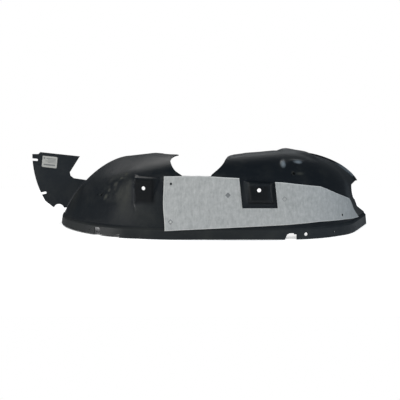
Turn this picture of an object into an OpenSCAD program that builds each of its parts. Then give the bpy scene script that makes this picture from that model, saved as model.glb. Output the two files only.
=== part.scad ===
// Front wheel arch liner: one moulded shell with an extension flap, a felt panel and a blank label.
// The liner stands on its fender lip, convex side toward -Y, vehicle front at -X, vehicle inboard side up.

/* [Arch plan] */
// Radius of the lip at the vehicle front, in plan
front_radius = 330; // [315:1:345]
// Length of the nearly straight lip between the two corners
crown_length = 261; // [250:1:275]
// Radius of the lip at the vehicle rear, in plan
rear_radius = 217; // [212:1:230]
// Angle the lip turns through at the rear corner
rear_turn = 69; // [66:0.5:72]
// Straight length of lip behind the rear corner
rear_leg = 150; // [142:1:158]

/* [Shell wall] */
// Moulded wall thickness
wall = 2.5; // [2:0.1:3.2]
// Width of the inboard wall past the top of the shoulder
inboard_w = 30; // [22:1:36]
// Drop of the inboard wall across its width
inboard_drop = 3.5; // [2:0.5:5]
// Radius of the inboard edge inside the rear corner
inboard_corner_r = 42; // [36:1:46]
// Inside radius of the bend where the flap leaves the shell
flap_bend_r = 4; // [3.5:0.1:5]

/* [Fender lip] */
// Height of the lip along most of the arch
lip_h = 27; // [25:0.5:30]
// Height of the lip at the front end
lip_end_h = 23; // [20:0.5:26]
// Outward flare of the lip foot where the lip is stepped
lip_flare = 7; // [5:0.5:9]
// Outward flare of the lip foot along the crown
crown_flare = 2; // [1:0.5:3]
// Height by which the lip foot is lifted forward of the sawtooth relief
lip_lift = 3.5; // [2.5:0.25:4.5]
// Inward step from the lip to the band
lip_step = 4; // [3:0.5:5]
// Height over which the step turns
lip_step_h = 3; // [2.5:0.5:4]
// Length of stepped lip measured from the front end
front_step_length = 420; // [400:5:440]
// Length of stepped lip measured from the rear end
rear_step_length = 255; // [240:5:280]

/* [Section at the front end] */
// Height of the steep band
front_end_band = 48; // [44:1:56]
// Rise of the shoulder above the band
front_end_rise = 139; // [131:1:147]
// Inward run of the shoulder
front_end_run = 180; // [172:1:190]
// Inward lean of the band in degrees
front_end_lean = 28; // [24:0.5:31]

/* [Section at the front corner] */
// Height of the steep band
front_corner_band = 120; // [114:1:128]
// Rise of the shoulder above the band
front_corner_rise = 80; // [74:1:88]
// Inward run of the shoulder
front_corner_run = 170; // [160:1:178]
// Inward lean of the band in degrees
front_corner_lean = 32; // [28:0.5:34]

/* [Section at the strut] */
// Height of the steep band
strut_band = 157; // [152:1:162]
// Rise of the shoulder above the band
strut_rise = 50; // [45:1:56]
// Inward run of the shoulder
strut_run = 110; // [102:1:118]
// Inward lean of the band in degrees
strut_lean = 3.5; // [2:0.5:6]

/* [Section at the rear corner] */
// Height of the steep band
rear_corner_band = 129; // [124:1:134]
// Rise of the shoulder above the band
rear_corner_rise = 90; // [84:1:96]
// Inward run of the shoulder
rear_corner_run = 152; // [144:1:156]
// Inward lean of the band in degrees
rear_corner_lean = 7.5; // [5:0.5:10]

/* [Section at the rear end] */
// Height of the steep band
rear_end_band = 103; // [98:1:108]
// Rise of the shoulder above the band
rear_end_rise = 91; // [87:1:96]
// Inward run of the shoulder
rear_end_run = 190; // [182:1:194]
// Inward lean of the band in degrees
rear_end_lean = 14; // [11:0.5:16]

/* [Strut opening] */
// Radius of the opening for the strut
strut_r = 76; // [71:1:80]
// Centre of the opening, forward of the middle of the crown
strut_forward = 75; // [70:1:80]
// Centre of the opening, inboard of the lip foot
strut_inset = 82; // [80:1:87]
// Angle round the opening, below the crossways line, at which the rear side of its mouth begins
strut_mouth_start = 40; // [36:0.5:44]
// Lean of the rear side of the mouth, away from straight inboard
strut_mouth_lean = 17.5; // [14:0.5:21]
// Length of that leaning side
strut_mouth_side = 50; // [45:1:55]
// Lean of the last part of the mouth, up to the inboard edge
strut_mouth_end_lean = 14; // [10:0.5:18]
// Angle round the opening at which its front tip ends
strut_tip_angle = 137; // [131:1:143]
// Angle of the front side of the mouth from the crown line
strut_front_angle = 74; // [70:1:80]
// Height of the flat foot of the opening
strut_floor = 159; // [157:0.5:163]

/* [Screw bosses] */
// Radius of the screw holes in both bosses
boss_hole_r = 5; // [4:0.25:6]
// Distance of the front boss from the front end, along the lip
front_boss_along = 423; // [418:1:428]
// Width of the flat face of the front boss
front_boss_w = 46; // [42:1:50]
// Width of the sloped side of the front boss toward the strut
front_boss_slope_w = 22; // [18:1:26]
// Width of the steep side of the front boss
front_boss_side_w = 8; // [6:1:11]
// Inset of the face of the front boss from the lip line
front_boss_inset = 22; // [20:0.5:25]
// Height of the top of the front boss
front_boss_top = 152; // [148:1:156]
// Size of the bevel along the top of the front boss
front_boss_bevel = 7; // [5:0.5:9]
// Height of the screw hole in the front boss
front_boss_hole_z = 126; // [120:1:132]
// Distance of the rear boss behind the start of the crown
rear_boss_along = 204; // [200:1:208]
// Width of the rear boss where it leaves the band
rear_boss_w = 85; // [81:1:88]
// Height of the rear boss foot
rear_boss_foot = 80; // [77:1:84]
// Height of the top of the rear boss on its front side
rear_boss_top = 153; // [150:1:156]
// Fall of the top of the rear boss toward the rear
rear_boss_fall = 9; // [6:1:11]
// Rearward skew of the foot of the rear boss
rear_boss_skew = 7; // [5:1:9]
// Width of the flat face of the rear boss
rear_boss_face_w = 50; // [46:1:54]
// Height of the flat face of the rear boss
rear_boss_face_h = 45; // [42:1:48]
// Height of the foot of the flat face of the rear boss
rear_boss_face_z = 99; // [97:1:102]
// Rearward skew of the foot of the flat face of the rear boss
rear_boss_face_skew = 5; // [3:0.5:7]
// Fall of the top of the flat face toward the rear
rear_boss_face_fall = 1; // [0.5:0.25:2]
// Distance by which the rear boss stands out past the lip line
rear_boss_proud = 12; // [10:0.5:14]
// Distance of the rear screw hole behind the middle of its boss
rear_boss_hole_shift = -1; // [-3:0.5:2]
// Height of the screw hole in the rear boss
rear_boss_hole_z = 126; // [122:1:130]

/* [Rear shoulder bulge] */
// Height of the bulge over the shoulder
bulge_h = 8; // [6:0.5:10]
// Radius of the bulge foot
bulge_r = 35; // [31:1:38]
// Distance of the bulge from the rear end, along the lip
bulge_from_rear = 379; // [370:1:390]

/* [Rear end] */
// Height of the outward rim along the rear end of the shoulder
rear_rim_h = 4; // [3:0.5:5]
// Depth of the recess in the rear end
recess_depth = 104; // [100:1:107]
// Height of the lower side of the recess at the rear end
recess_foot = 34; // [32:0.5:37]
// Height of the knee in the lower side of the recess
recess_knee_z = 58; // [55:1:62]
// Distance of that knee from the rear end
recess_knee = 72; // [68:1:76]
// Height of the upper side of the recess at the rear end
recess_top = 121; // [118:1:123]
// Radius of the closed end of the recess
recess_r = 20; // [17:0.5:22]
// Height of the middle of the closed end of the recess
recess_z = 98; // [95:1:101]

/* [Lip cut-outs] */
// Width of the slot in the front part of the lip
front_slot_w = 20; // [16:1:24]
// Height of the slot in the front part of the lip
front_slot_h = 21; // [18:1:24]
// Distance of that slot from the front end, along the lip
front_slot_along = 295; // [288:1:302]
// Length of the sawtooth relief in the lip
relief_length = 20; // [16:1:26]
// Height of the sawtooth relief
relief_h = 10; // [8:1:13]
// Distance of the relief from the front end, along the lip
relief_along = 346; // [340:1:352]
// Width of the rear relief in the lip
rear_slot_w = 30; // [26:1:34]
// Height of the rear relief in the lip
rear_slot_h = 16; // [13:1:19]
// Height of the step at the rear side of the rear relief
rear_slot_step = 3; // [2:0.5:4]
// Length of the sloped front side of the rear relief
rear_slot_slope = 12; // [10:0.5:13]
// Distance of that step from the rear side of the rear relief
rear_slot_ledge = 6; // [4:0.5:8]
// Distance of the rear relief behind the start of the crown
rear_slot_along = 284; // [280:1:290]
// Radius of the fixing hole in the lip
lip_hole_r = 4.5; // [3.5:0.25:5.5]
// Height of the fixing holes in the lip
lip_hole_z = 12.5; // [11:0.5:15]
// Distance of the fixing hole behind the start of the crown
lip_hole_along = 324; // [318:1:330]
// Radius of the small locating holes
pin_hole_r = 2; // [1.5:0.25:2.5]
// Height of the hole in the front of the band
band_hole_z = 107; // [102:1:112]
// Distance of that hole from the front end, along the lip
band_hole_along = 275; // [268:1:282]
// Place of the pin hole in the rear shoulder, as a share of the way up it
shoulder_hole_share = 0.22; // [0.18:0.01:0.26]
// Distance of that hole from the rear end, along the lip
shoulder_hole_from_rear = 376.5; // [372:0.5:381]
// Distance of the front locating hole from the front end, along the lip
front_pin_along = 269; // [262:1:276]
// Distance of the first rear locating hole from the rear end, along the lip
rear_pin_along = 259; // [250:1:268]
// Distance of the second rear locating hole from the rear end, along the lip
end_pin_along = 149; // [140:1:158]

/* [Extension flap] */
// Reach of the flap forward of the shell end
flap_reach = 91; // [88:1:94]
// Radius of the curved front edge of the flap
flap_edge_r = 265; // [256:1:274]
// Height of the centre of the curved front edge
flap_edge_z = 188; // [184:1:192]
// Height of the top front corner of the flap
flap_top_z = 197; // [193:1:201]
// Fall of the top edge toward the shell
flap_top_fall = 12; // [9:1:15]
// Height of the small shoulder at the top front corner
flap_ledge = 5.5; // [4:0.5:7]
// Distance of that shoulder from the front edge
flap_ledge_run = 17; // [14:1:20]
// Length over which that shoulder rises
flap_ledge_ramp = 6; // [4:0.5:8]
// Distance of the top rear corner inboard of the shell end
flap_top_inset = 44; // [40:1:48]
// Height of the waist between flap and shell
flap_waist_z = 139; // [136:1:142]
// Height at which the upper edge of the flap meets the shell
flap_root_z = 116; // [112:1:119]
// Height of the lowest tip of the flap
flap_tip_z = 38; // [36:1:40]
// Distance of the lowest tip forward of the shell end
flap_tip_reach = 32; // [30:1:34]
// Radius of the scallop in the lower edge
scallop_r = 15; // [14:0.5:16]
// Height of the middle of the scallop
scallop_z = 33.5; // [32:0.5:35]
// Width of the two edge slots
flap_slot_w = 6.5; // [5:0.5:8]
// Depth of the upper edge slot
flap_slot_depth = 12.5; // [10.5:0.5:14.5]
// Height of the upper edge slot
upper_slot_z = 175; // [172:1:178]
// Height of the lower edge slot
lower_slot_z = 81; // [78:1:84]
// Rise of the lower edge slot toward the shell, in degrees
lower_slot_rise = 12; // [8:1:16]
// Fall of the upper edge slot toward the shell, in degrees
upper_slot_fall = 4; // [2:0.5:6]

/* [Felt panel] */
// Thickness of the felt
felt_t = 4; // [3:0.25:5]
// Clearance between felt and shell
felt_gap = 0.3; // [0.2:0.05:0.5]
// Distance of the front felt edge ahead of the start of the crown, along the lip
felt_lead = 36.5; // [31:0.5:42]
// Height of the lower felt edge at the front
felt_foot_front = 21; // [19:0.5:24]
// Height of the lower felt edge at the rear corner
felt_foot_corner = 42; // [38:1:46]
// Height of the lower felt edge at the rear tip
felt_foot_rear = 32; // [31.5:0.5:35]
// Distance of the rear felt tip from the rear end, along the lip
felt_tip_along = 92; // [86:1:98]
// Height of the upper felt edge at its front corner
felt_top_front = 156; // [153:1:158]
// Distance of the highest point of the felt behind the start of the crown
felt_strut_along = 55; // [50:1:60]
// Height of the upper felt edge at the strut opening
felt_top_strut = 160; // [158:0.5:162]
// Height of the upper felt edge in front of the rear boss
felt_top_boss = 152.5; // [150:0.5:155]
// Distance of the place where the felt starts to narrow from the rear end, along the lip
felt_bend_along = 266; // [260:1:272]
// Height of the upper felt edge at the rear corner
felt_top_corner = 124; // [120:1:128]
// Height of the upper rear felt corner
felt_top_rear = 86; // [82:1:90]
// Distance of the upper rear felt corner from the rear end, along the lip
felt_corner_along = 127; // [120:1:134]
// Clearance between felt and rear boss
felt_boss_gap = 1; // [0.6:0.1:1.4]
// Radius of the two small holes in the felt
felt_hole_r = 2; // [1.5:0.25:2.5]
// Half diagonal of the weld marks
weld_half = 5; // [4:0.25:6]
// Depth of the weld marks
weld_depth = 1.2; // [0.8:0.1:1.6]

/* [Label] */
// Width of the blank label
label_w = 42.5; // [40:0.5:45]
// Height of the blank label
label_h = 32; // [29:0.5:34]
// Thickness of the blank label
label_t = 0.4; // [0.3:0.05:0.6]
// Corner radius of the label
label_corner_r = 3; // [2:0.5:4]
// Lean of the label in degrees
label_lean = 6; // [4:0.5:8]
// Distance of the middle of the label forward of the shell end
label_reach = 42; // [40:1:46]
// Height of the middle of the label
label_z = 169; // [166:1:171]

/* [Hidden] */
$fn = 48;

// Small overrun that carries every cutter past the face it opens
over = 1;
// Length of the cutters that pass through a wall
cutter = 60;

// Reach of the rough flap blank, and the square turn between it and the shell
blank_reach = flap_reach + front_end_rise;
flap_turn = 90;

// Lengths along the lip at which the plan changes
front_len = front_radius * PI / 2;
crown_end = front_len + crown_length;
rear_len = rear_radius * rear_turn * PI / 180;
total = crown_end + rear_len + rear_leg;

// Plan positions measured from the middle of the crown
crown_x0 = -crown_length / 2;
crown_x1 = crown_length / 2;
front_end_x = crown_x0 - front_radius;

// Stations along the lip at which the five sections stand
corner_share = 0.5;
strut_share = 0.45;
rear_share = 0.35;
keys = [0, front_len * corner_share, front_len + crown_length * strut_share,
    crown_end + rear_len * rear_share, total];
bands = [front_end_band, front_corner_band, strut_band, rear_corner_band, rear_end_band];
rises = [front_end_rise, front_corner_rise, strut_rise, rear_corner_rise, rear_end_rise];
runs = [front_end_run, front_corner_run, strut_run, rear_corner_run, rear_end_run];
leans = [front_end_lean, front_corner_lean, strut_lean, rear_corner_lean, rear_end_lean];

// Rows of a section: two on the lip, the band, the shoulder and one on the inboard wall
band_rows = 4;
shoulder_rows = 17;
rows = 3 + band_rows + shoulder_rows + 1;
first_shoulder = 3 + band_rows;
// Fullness of the shoulder curve
fullness = 0.55;

// Stations along the lip
bend_steps = 4;
front_steps = 27;
crown_steps = 12;
rear_steps = 28;
leg_steps = 6;
rim_reach = 9;
rim_ramp = 6;

function clamp01(x) = min(1, max(0, x));
function ease(x, a, b) = let(u = clamp01((x - a) / (b - a))) u * u * (3 - 2 * u);

// Smooth curve through the five section sizes
function chord_slope(v, i) = (v[i + 1] - v[i]) / (keys[i + 1] - keys[i]);
function key_slope(v, i) = i == 0 ? chord_slope(v, 0) : i == 4 ? chord_slope(v, 3)
    : (chord_slope(v, i - 1) * (keys[i + 1] - keys[i]) + chord_slope(v, i) * (keys[i] - keys[i - 1]))
        / (keys[i + 1] - keys[i - 1]);
function span_of(t) = t >= keys[3] ? 3 : t >= keys[2] ? 2 : t >= keys[1] ? 1 : 0;
function through(v, t) =
    let(i = span_of(t), h = keys[i + 1] - keys[i], x = clamp01((t - keys[i]) / h), y = x * x, z = y * x)
    (2 * z - 3 * y + 1) * v[i] + (z - 2 * y + x) * h * key_slope(v, i)
        + (3 * y - 2 * z) * v[i + 1] + (z - y) * h * key_slope(v, i + 1);

// Heading of the lip: negative on the front corner, zero on the crown, positive at the rear
function heading(t) = t < front_len ? -(front_len - t) / front_radius * 180 / PI
    : t < crown_end ? 0 : min(rear_turn, (t - crown_end) / rear_radius * 180 / PI);
// Foot of the band in plan, with Y measured from the crown
function plan(t) =
    let(a = heading(t), leg = max(0, t - crown_end - rear_len))
    t < front_len ? [crown_x0 + front_radius * sin(a), front_radius * (1 - cos(a))]
    : t < crown_end ? [crown_x0 + t - front_len, 0]
    : [crown_x1 + rear_radius * sin(a) + leg * cos(a), rear_radius * (1 - cos(a)) + leg * sin(a)];
function inward(t) = [-sin(heading(t)), cos(heading(t))];
function tangent(t) = [cos(heading(t)), sin(heading(t))];

// How strongly the lip is stepped: full at both ends and none along the crown
step_fade = 50;
function stepped(t) = max(1 - ease(t, front_step_length - step_fade, front_step_length),
    ease(t, total - rear_step_length, total - rear_step_length + step_fade));
lip_grow = 250;
function lip_height(t) = lip_end_h + (lip_h - lip_end_h) * ease(t, 0, lip_grow);
function foot_z(t) = lip_height(t) + lip_step_h;
function band_z(t) = max(through(bands, t), foot_z(t) + lip_step_h);
function lean(t) = through(leans, t);
function lifted(t) = lip_lift * (1 - ease(t, relief_along, relief_along + relief_length));

// One point of a section: inward offset, height and the angle of its outward normal
function band_point(t, share) =
    let(z = foot_z(t) + (band_z(t) - foot_z(t)) * share)
    [(z - foot_z(t)) * tan(lean(t)), z, lean(t)];
function shoulder_point(t, u) =
    let(start = band_point(t, 1), rise = through(rises, t), run = through(runs, t), w = 1 - u,
        p1 = [fullness * rise * tan(lean(t)), fullness * rise],
        p2 = [run - fullness * (run - rise * tan(lean(t))), rise], p3 = [run, rise],
        p = 3 * u * w * w * p1 + 3 * u * u * w * p2 + u * u * u * p3,
        d = w * w * p1 + 2 * u * w * (p2 - p1) + u * u * (p3 - p2))
    [start[0] + p[0], start[1] + p[1], atan2(d[0], d[1])];
function section(t, k) =
    k == 0 ? [-crown_flare - (lip_flare - crown_flare) * stepped(t), lifted(t), 0]
    : k == 1 ? [-lip_step * stepped(t), lip_height(t), lean(t) / 4]
    : k <= 2 + band_rows ? let(p = band_point(t, (k - 2) / band_rows))
        [p[0], p[1], k == 2 ? lean(t) / 2 : p[2]]
    : k < rows - 1 ? shoulder_point(t, (k - first_shoulder + 1) / shoulder_rows)
    : let(p = shoulder_point(t, 1)) [p[0] + inboard_w, p[1] - inboard_drop, p[2]];

// Point on the outer face, moved outward by off along its normal
function skin_point(t, k, off) =
    let(s = section(t, k), base = plan(t), n = inward(t), r = s[0] - off * cos(s[2]))
    [base[0] + n[0] * r, base[1] + n[1] * r, s[1] + off * sin(s[2])];

// Bulge over the rear shoulder and the rim along the rear end
bulge_row = first_shoulder + 6;
bulge_centre = skin_point(total - bulge_from_rear, bulge_row, 0);
bulge_flat = 0.25;
function bulge(t, k) =
    let(d = norm(skin_point(t, k, 0) - bulge_centre)) bulge_h * (1 - ease(d, bulge_r * bulge_flat, bulge_r));
function rim(t, k) = rear_rim_h * ease(t, total - rim_reach, total - rim_reach + rim_ramp)
    * ease(k, first_shoulder - 1, first_shoulder + 1);
function formed(t, k) = bulge(t, k) + rim(t, k);

// Stations: length along the lip, outward offset and turn of the flap bend
function bend_station(a) = [flap_bend_r * (1 - sin(a)), flap_bend_r * (1 - cos(a)), a];
stations = concat([[0, flap_bend_r + blank_reach, flap_turn]],
    [for (i = [0:bend_steps]) bend_station(flap_turn * (1 - i / bend_steps))],
    [for (i = [1:front_steps]) [flap_bend_r + (front_len - flap_bend_r) * i / front_steps, 0, 0]],
    [for (i = [1:crown_steps]) [front_len + crown_length * i / crown_steps, 0, 0]],
    [for (i = [1:rear_steps]) [crown_end + rear_len * i / rear_steps, 0, 0]],
    [for (i = [1:leg_steps]) [total - rear_leg + (rear_leg - rim_reach) * i / leg_steps, 0, 0]],
    [for (i = [1:3]) [total - rim_reach + rim_reach * i / 3, 0, 0]]);
count = len(stations);

function outer_point(s, k) = skin_point(s[0], k, s[1] + formed(s[0], k));
function inner_point(s, k) =
    let(p = outer_point(s, k), n = inward(s[0]), d = tangent(s[0]), a = section(s[0], k)[2], c = cos(s[2]))
    p + wall * [n[0] * cos(a) * c - d[0] * sin(s[2]), n[1] * cos(a) * c - d[1] * sin(s[2]),
        k == 0 ? 0 : -sin(a) * c];

// Closed skin over a grid of outer points and a grid of inner points
function skin_faces(m, w) = let(h = m * w) concat(
    [for (i = [0:m - 2], k = [0:w - 2]) [i * w + k, i * w + k + 1, (i + 1) * w + k + 1]],
    [for (i = [0:m - 2], k = [0:w - 2]) [i * w + k, (i + 1) * w + k + 1, (i + 1) * w + k]],
    [for (i = [0:m - 2], k = [0:w - 2]) [h + i * w + k, h + (i + 1) * w + k + 1, h + i * w + k + 1]],
    [for (i = [0:m - 2], k = [0:w - 2]) [h + i * w + k, h + (i + 1) * w + k, h + (i + 1) * w + k + 1]],
    [for (i = [0:m - 2]) [i * w, (i + 1) * w, h + (i + 1) * w]],
    [for (i = [0:m - 2]) [i * w, h + (i + 1) * w, h + i * w]],
    [for (i = [0:m - 2]) let(e = w - 1) [(i + 1) * w + e, i * w + e, h + i * w + e]],
    [for (i = [0:m - 2]) let(e = w - 1) [(i + 1) * w + e, h + i * w + e, h + (i + 1) * w + e]],
    [for (k = [0:w - 2]) [k + 1, k, h + k]], [for (k = [0:w - 2]) [k + 1, h + k, h + k + 1]],
    [for (k = [0:w - 2]) let(e = (m - 1) * w) [e + k, e + k + 1, h + e + k + 1]],
    [for (k = [0:w - 2]) let(e = (m - 1) * w) [e + k, h + e + k + 1, h + e + k]]);

module loft() {
    polyhedron(points = concat(
        [for (s = stations, k = [0:rows - 1]) outer_point(s, k)],
        [for (s = stations, k = [0:rows - 1]) inner_point(s, k)]),
        faces = skin_faces(count, rows));
}

// Local frame on the lip line: X along the lip toward the rear, Y inboard of the arch, Z up
module at_lip(t) {
    translate([plan(t)[0], plan(t)[1], 0]) rotate([0, 0, heading(t)]) children();
}
// Round hole through the wall at one place on the lip line
module wall_hole(t, z, r) {
    at_lip(t) translate([0, -cutter / 2, z]) rotate([-90, 0, 0]) cylinder(h = cutter * 2, r = r);
}

// Backing block whose outer side lies in the middle of the wall, used to end a boss inside the wall
backing_depth = 90;
backing_steps = 14;
backing_rows = rows - 4;
module backing(t0, t1) {
    ts = [for (i = [0:backing_steps]) t0 + (t1 - t0) * i / backing_steps];
    polyhedron(points = concat(
        [for (t = ts, k = [1:backing_rows]) skin_point(t, k, -wall / 2)],
        [for (t = ts, k = [1:backing_rows]) skin_point(t, k, -wall / 2)
            + backing_depth * [inward(t)[0], inward(t)[1], 0]]),
        faces = skin_faces(backing_steps + 1, backing_rows));
}

// Front screw boss: flat face, one sloped side toward the strut and a bevelled top; fades into the band
module front_boss_body(inset, depth) {
    half = front_boss_w / 2;
    face = front_boss_inset + inset;
    top = front_boss_top - inset;
    foot = lip_h * 2;
    at_lip(front_boss_along) intersection() {
        linear_extrude(front_boss_top + over) polygon([
            [inset - half, face], [half - inset, face],
            [half + front_boss_slope_w - inset, face + front_boss_slope_w],
            [half + front_boss_slope_w - inset, depth],
            [inset - half - front_boss_side_w, depth],
            [inset - half - front_boss_side_w, face + front_boss_slope_w]]);
        translate([-cutter * 2, 0, 0]) rotate([90, 0, 90]) linear_extrude(cutter * 4) polygon([
            [face, foot], [face, top - front_boss_bevel], [face + front_boss_bevel, top],
            [depth, top], [depth, foot]]);
    }
}

// Rear screw boss: four sloped sides round a flat face
module taper_block(base, face, y_base, y_face) {
    polyhedron(points = [
        [base[0][0], y_base, base[0][1]], [base[1][0], y_base, base[1][1]],
        [base[2][0], y_base, base[2][1]], [base[3][0], y_base, base[3][1]],
        [face[0][0], y_face, face[0][1]], [face[1][0], y_face, face[1][1]],
        [face[2][0], y_face, face[2][1]], [face[3][0], y_face, face[3][1]]],
        faces = [[0, 1, 2], [0, 2, 3], [4, 6, 5], [4, 7, 6], [0, 5, 1], [0, 4, 5],
            [1, 6, 2], [1, 5, 6], [2, 7, 3], [2, 6, 7], [3, 4, 0], [3, 7, 4]]);
}
// Corners of the rear boss at a given distance behind its face, in order foot front, foot rear, top rear, top front
rear_boss_seat = 18;
function boss_base(i) = [
    [-rear_boss_w / 2 + rear_boss_skew / 2 + i, rear_boss_foot + i],
    [rear_boss_w / 2 + rear_boss_skew / 2 - i, rear_boss_foot + i],
    [rear_boss_w / 2 - rear_boss_skew / 2 - i, rear_boss_top - rear_boss_fall - i],
    [-rear_boss_w / 2 - rear_boss_skew / 2 + i, rear_boss_top - i]];
function boss_face(i) = [
    [-rear_boss_face_w / 2 + rear_boss_face_skew + i, rear_boss_face_z + i],
    [rear_boss_face_w / 2 + rear_boss_face_skew - i, rear_boss_face_z + i],
    [rear_boss_face_w / 2 - rear_boss_face_fall - i, rear_boss_face_z + rear_boss_face_h - rear_boss_face_fall - i],
    [-rear_boss_face_w / 2 - rear_boss_face_fall + i, rear_boss_face_z + rear_boss_face_h - i]];
module rear_boss_body(inset) {
    at_lip(front_len + rear_boss_along)
        taper_block(boss_base(inset), boss_face(inset), rear_boss_seat, inset - rear_boss_proud);
}

// Opening for the strut: a round cut with a flat foot, open toward the inboard edge
opening_fn = 96;
module strut_opening() {
    far = cutter * 3;
    inner_r = strut_r - over;
    start = [strut_r * cos(strut_mouth_start), -strut_r * sin(strut_mouth_start)];
    lean = [sin(strut_mouth_lean), cos(strut_mouth_lean)];
    turn = start + lean * strut_mouth_side;
    last = turn + [sin(strut_mouth_end_lean), cos(strut_mouth_end_lean)] * far;
    tip = [inner_r * cos(strut_tip_angle), inner_r * sin(strut_tip_angle)];
    last_tip = [tip[0] - last[1] / tan(strut_front_angle), last[1]];
    translate([-strut_forward, strut_inset, strut_floor]) linear_extrude(cutter * 2) intersection() {
        union() {
            circle(r = strut_r, $fn = opening_fn);
            polygon([[0, 0], [far, start[1]], [far, last[1]], last_tip, tip]);
        }
        polygon([start - lean * strut_r, start, turn, last, [-far, last[1]], [-far, -far]]);
    }
}

// Outline of the flap seen from the front of the panel: X forward of the shell end, Y up
module slot_cut(x, y, rise) {
    translate([x, y]) rotate(rise) {
        circle(r = flap_slot_w / 2);
        translate([0, -flap_slot_w / 2]) square([cutter, flap_slot_w]);
    }
}
root_inset = 70;
waist_x = 16.5;
waist_lean = 2;
waist_r = 9;
waist_drop = 6.5;
scallop_bite = 1;
scallop_x = flap_tip_reach - scallop_r + scallop_bite;
edge_fn = 120;
slot_sag = flap_edge_r * (1 - cos(asin((flap_edge_z - lower_slot_z) / flap_edge_r)));
module flap_outline() {
    difference() {
        intersection() {
            polygon([[flap_reach + over, flap_top_z - flap_ledge],
                [flap_reach - flap_ledge_run, flap_top_z - flap_ledge],
                [flap_reach - flap_ledge_run - flap_ledge_ramp, flap_top_z],
                [-flap_top_inset, flap_top_z - flap_top_fall],
                [-waist_x + waist_lean, flap_waist_z], [-waist_x, flap_waist_z - waist_r],
                [-waist_x - waist_r, flap_root_z + waist_drop],
                [-root_inset, flap_root_z], [-root_inset, flap_tip_z + waist_r],
                [0, flap_tip_z], [flap_tip_reach, flap_tip_z], [flap_reach + over, lower_slot_z]]);
            translate([flap_reach - flap_edge_r, flap_edge_z]) circle(r = flap_edge_r, $fn = edge_fn);
        }
        translate([scallop_x, scallop_z]) circle(r = scallop_r);
        slot_cut(flap_reach - flap_slot_depth, upper_slot_z, upper_slot_fall);
        slot_cut(flap_reach - flap_slot_depth - slot_sag, lower_slot_z, -lower_slot_rise);
    }
}
// Everything of the rough flap blank that is trimmed away, with the flap left standing
module flap_trim() {
    difference() {
        translate([front_end_x - blank_reach * 1.5, front_radius - over, -over])
            cube([blank_reach * 3, wall + over * 2, blank_reach * 2.5]);
        translate([front_end_x, front_radius + cutter / 2, 0]) rotate([90, 0, 0])
            linear_extrude(cutter) mirror([1, 0]) flap_outline();
    }
}

// Recess in the rear end, seen along the wall
module rear_recess() {
    at_lip(total) translate([0, cutter, 0]) rotate([90, 0, 0]) linear_extrude(cutter * 2) {
        translate([recess_r - recess_depth, recess_z]) circle(r = recess_r);
        polygon([[recess_r - recess_depth, recess_z - recess_r], [-recess_knee, recess_knee_z], [over, recess_foot],
            [over, recess_top], [recess_r - recess_depth, recess_z + recess_r]]);
    }
}

// Slots, reliefs and holes in the fender lip, and the pin holes, of which one stands square to the shoulder
shoulder_hole_along = total - shoulder_hole_from_rear;
shoulder_place = shoulder_point(shoulder_hole_along, shoulder_hole_share);
module lip_cuts() {
    at_lip(front_slot_along) translate([0, cutter / 2, 0]) rotate([90, 0, 0]) linear_extrude(cutter) {
        translate([-front_slot_w / 2, -over]) square([front_slot_w, front_slot_h - front_slot_w / 4 + over]);
        translate([-front_slot_w / 4, 0]) square([front_slot_w / 2, front_slot_h]);
        for (side = [-1, 1]) translate([side * front_slot_w / 4, front_slot_h - front_slot_w / 4])
            circle(r = front_slot_w / 4);
    }
    at_lip(relief_along) translate([0, cutter / 2, 0]) rotate([90, 0, 0]) linear_extrude(cutter)
        polygon([[0, -over], [0, lip_lift], [relief_length, relief_h], [relief_length, -over]]);
    at_lip(front_len + rear_slot_along) translate([0, cutter / 2, 0]) rotate([90, 0, 0])
        linear_extrude(cutter) polygon([[-rear_slot_w / 2, -over], [-rear_slot_w / 2, 0],
            [-rear_slot_w / 2 + rear_slot_slope / 2, rear_slot_h - rear_slot_step],
            [-rear_slot_w / 2 + rear_slot_slope, rear_slot_h],
            [rear_slot_w / 2 - rear_slot_ledge - over, rear_slot_h],
            [rear_slot_w / 2 - rear_slot_ledge, rear_slot_h - rear_slot_step],
            [rear_slot_w / 2, rear_slot_h - rear_slot_step], [rear_slot_w / 2, -over]]);
    wall_hole(front_len + lip_hole_along, lip_hole_z, lip_hole_r);
    wall_hole(front_pin_along, lip_hole_z, pin_hole_r);
    wall_hole(band_hole_along, band_hole_z, pin_hole_r);
    at_lip(shoulder_hole_along) translate([0, shoulder_place[0], shoulder_place[1]])
        rotate([90 - shoulder_place[2], 0, 0]) cylinder(h = cutter / 2, r = pin_hole_r, center = true);
    wall_hole(total - rear_pin_along, lip_hole_z, pin_hole_r);
    wall_hole(total - end_pin_along, lip_hole_z, pin_hole_r);
}

module liner_shell() {
    color([0.16, 0.17, 0.18]) difference() {
        union() {
            loft();
            difference() {
                front_boss_body(0, cutter * 1.2);
                backing(front_boss_along - cutter, front_boss_along + cutter * 1.2);
            }
            difference() {
                rear_boss_body(0);
                backing(front_len + rear_boss_along - cutter, front_len + rear_boss_along + cutter);
            }
        }
        front_boss_body(wall, cutter * 1.3);
        rear_boss_body(wall);
        wall_hole(front_boss_along, front_boss_hole_z, boss_hole_r);
        at_lip(front_len + rear_boss_along) translate([rear_boss_hole_shift, -cutter / 2, rear_boss_hole_z])
            rotate([-90, 0, 0]) cylinder(h = cutter * 2, r = boss_hole_r);
        strut_opening();
        translate([crown_x1, rear_radius, lip_h]) cylinder(h = cutter * 4, r = inboard_corner_r);
        flap_trim();
        rear_recess();
        lip_cuts();
    }
}

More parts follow.
